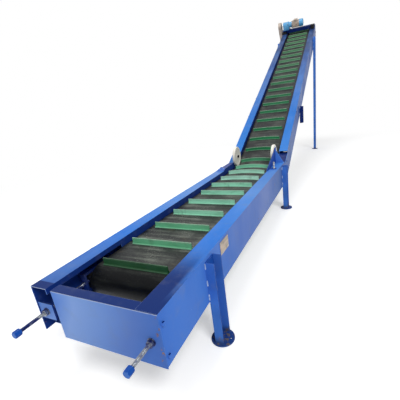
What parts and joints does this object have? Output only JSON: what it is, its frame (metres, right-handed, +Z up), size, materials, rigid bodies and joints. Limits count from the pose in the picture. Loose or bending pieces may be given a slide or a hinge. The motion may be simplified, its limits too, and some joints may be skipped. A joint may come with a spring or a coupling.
{
  "type": "inclined cleated belt conveyor section",
  "caption": "Inclined cleated belt conveyor with a level feed section, a knee with hold-down wheels, a rising section and a top-mounted geared drive.",
  "frame": {"origin": "on the floor, under the middle of the conveyor's length and width", "axes": "+Y along the belt from the feed end up to the drive, +Z up, +X to the right seen from the feed end"},
  "size_m": [0.9156, 7.7666, 3.0442],
  "materials": {
    "frame_blue": "semi-gloss enamel, worn",
    "belt_rubber": "matt, dusty, with green cleats",
    "dark_steel": "dull, oily",
    "zinc_steel": "satin zinc",
    "white_nylon": "matt",
    "drive_blue": "gloss enamel",
    "guard_beige": "satin, dusty",
    "bare_plate": "brushed, bare"
  },
  "bodies": {
    "frame": {"beam_clamp_left": "dark_steel", "beam_clamp_right": "dark_steel", "bed_feed": "frame_blue", "bed_incline": "frame_blue", "belt": "belt_rubber", "bend_axle": "zinc_steel", "chain": "dark_steel", "chain_guard": "guard_beige", "end_plate": "frame_blue", "fan_cover": "drive_blue", "gearbox": "drive_blue", "head_beam": "frame_blue", "head_bearing_left": "dark_steel", "head_bearing_right": "dark_steel", "hold_bracket_left": "frame_blue", "hold_bracket_right": "frame_blue", "hold_stud_left": "frame_blue", "hold_stud_right": "zinc_steel", "leg_feed_left": "frame_blue", "leg_feed_right": "frame_blue", "leg_head_left": "frame_blue", "leg_head_right": "frame_blue", "leg_knee_left": "frame_blue", "leg_knee_right": "frame_blue", "motor": "guard_beige", "nameplate": "bare_plate", "rail_feed_left": "frame_blue", "rail_feed_right": "frame_blue", "rail_incline_left": "frame_blue", "rail_incline_right": "frame_blue", "socket_left": "frame_blue", "socket_right": "frame_blue", "splice_left": "frame_blue", "splice_right": "frame_blue", "takeup_frame_left": "frame_blue", "takeup_frame_right": "frame_blue"},
    "takeup": {"takeup_block_left": "dark_steel", "takeup_block_right": "dark_steel", "takeup_screw_left": "zinc_steel", "takeup_screw_right": "zinc_steel"},
    "takeup_nut_left": {"takeup_nut_left": "zinc_steel"},
    "takeup_nut_right": {"takeup_nut_right": "zinc_steel"},
    "tail_pulley": {"tail_pulley": "dark_steel"},
    "head_shaft": {"head_pulley": "dark_steel", "head_sprocket": "dark_steel"},
    "drive_shaft": {"drive_shaft": "zinc_steel", "drive_sprocket": "dark_steel"},
    "bend_roller": {"bend_roller": "dark_steel"},
    "hold_wheel_left": {"hold_wheel_left": "white_nylon"},
    "hold_wheel_right": {"hold_wheel_right": "white_nylon"},
    "return_roller_left_1": {"return_roller_left_1": "white_nylon"},
    "return_roller_right_1": {"return_roller_right_1": "white_nylon"},
    "return_roller_left_2": {"return_roller_left_2": "white_nylon"},
    "return_roller_right_2": {"return_roller_right_2": "white_nylon"},
    "return_roller_left_3": {"return_roller_left_3": "white_nylon"},
    "return_roller_right_3": {"return_roller_right_3": "white_nylon"}
  },
  "joints": [
    {"name": "takeup_slide", "type": "slide", "parent": "frame", "child": "takeup", "axis": [0, 1, 0], "range_m": [0, 0.07]},
    {"name": "takeup_nut_left_spin", "type": "hinge", "parent": "frame", "child": "takeup_nut_left", "pos_m": [-0.3125, -3.72929, 0.3957], "axis": [0, 1, 0], "continuous": true},
    {"name": "takeup_nut_right_spin", "type": "hinge", "parent": "frame", "child": "takeup_nut_right", "pos_m": [0.3125, -3.72929, 0.3957], "axis": [0, 1, 0], "continuous": true},
    {"name": "head_spin", "type": "hinge", "parent": "frame", "child": "head_shaft", "pos_m": [0, 3.72795, 2.71122], "axis": [1, 0, 0], "continuous": true},
    {"name": "tail_spin", "type": "hinge", "parent": "takeup", "child": "tail_pulley", "pos_m": [0, -3.40929, 0.3957], "axis": [1, 0, 0], "continuous": true},
    {"name": "drive_spin", "type": "hinge", "parent": "frame", "child": "drive_shaft", "pos_m": [0, 3.49001, 2.9364], "axis": [1, 0, 0], "continuous": true},
    {"name": "bend_roller_spin", "type": "hinge", "parent": "frame", "child": "bend_roller", "pos_m": [0, -0.92958, 0.3657], "axis": [1, 0, 0], "continuous": true},
    {"name": "hold_wheel_left_spin", "type": "hinge", "parent": "frame", "child": "hold_wheel_left", "pos_m": [-0.2385, -0.9904, 0.62499], "axis": [1, 0, 0], "continuous": true},
    {"name": "hold_wheel_right_spin", "type": "hinge", "parent": "frame", "child": "hold_wheel_right", "pos_m": [0.2385, -0.9904, 0.62499], "axis": [1, 0, 0], "continuous": true},
    {"name": "return_roller_left_1_spin", "type": "hinge", "parent": "frame", "child": "return_roller_left_1", "pos_m": [-0.233, -2.22929, 0.2861], "axis": [1, 0, 0], "continuous": true},
    {"name": "return_roller_right_1_spin", "type": "hinge", "parent": "frame", "child": "return_roller_right_1", "pos_m": [0.233, -2.22929, 0.2861], "axis": [1, 0, 0], "continuous": true},
    {"name": "return_roller_left_2_spin", "type": "hinge", "parent": "frame", "child": "return_roller_left_2", "pos_m": [-0.233, 0.35059, 0.91232], "axis": [1, 0, 0], "continuous": true},
    {"name": "return_roller_right_2_spin", "type": "hinge", "parent": "frame", "child": "return_roller_right_2", "pos_m": [0.233, 0.35059, 0.91232], "axis": [1, 0, 0], "continuous": true},
    {"name": "return_roller_left_3_spin", "type": "hinge", "parent": "frame", "child": "return_roller_left_3", "pos_m": [-0.233, 2.09723, 1.77935], "axis": [1, 0, 0], "continuous": true},
    {"name": "return_roller_right_3_spin", "type": "hinge", "parent": "frame", "child": "return_roller_right_3", "pos_m": [0.233, 2.09723, 1.77935], "axis": [1, 0, 0], "continuous": true}
  ],
  "couplings": [
    {"joint": "tail_spin", "follows": "head_spin", "ratio": 1},
    {"joint": "drive_spin", "follows": "head_spin", "ratio": 1.4},
    {"joint": "bend_roller_spin", "follows": "head_spin", "ratio": 1.5455},
    {"joint": "hold_wheel_left_spin", "follows": "head_spin", "ratio": -0.69672},
    {"joint": "hold_wheel_right_spin", "follows": "head_spin", "ratio": -0.69672},
    {"joint": "return_roller_left_1_spin", "follows": "head_spin", "ratio": -5.3125},
    {"joint": "return_roller_right_1_spin", "follows": "head_spin", "ratio": -5.3125},
    {"joint": "return_roller_left_2_spin", "follows": "head_spin", "ratio": -5.3125},
    {"joint": "return_roller_right_2_spin", "follows": "head_spin", "ratio": -5.3125},
    {"joint": "return_roller_left_3_spin", "follows": "head_spin", "ratio": -5.3125},
    {"joint": "return_roller_right_3_spin", "follows": "head_spin", "ratio": -5.3125},
    {"joint": "takeup_nut_left_spin", "follows": "takeup_slide", "rad_per_m": 2513.3},
    {"joint": "takeup_nut_right_spin", "follows": "takeup_slide", "rad_per_m": 2513.3}
  ]
}
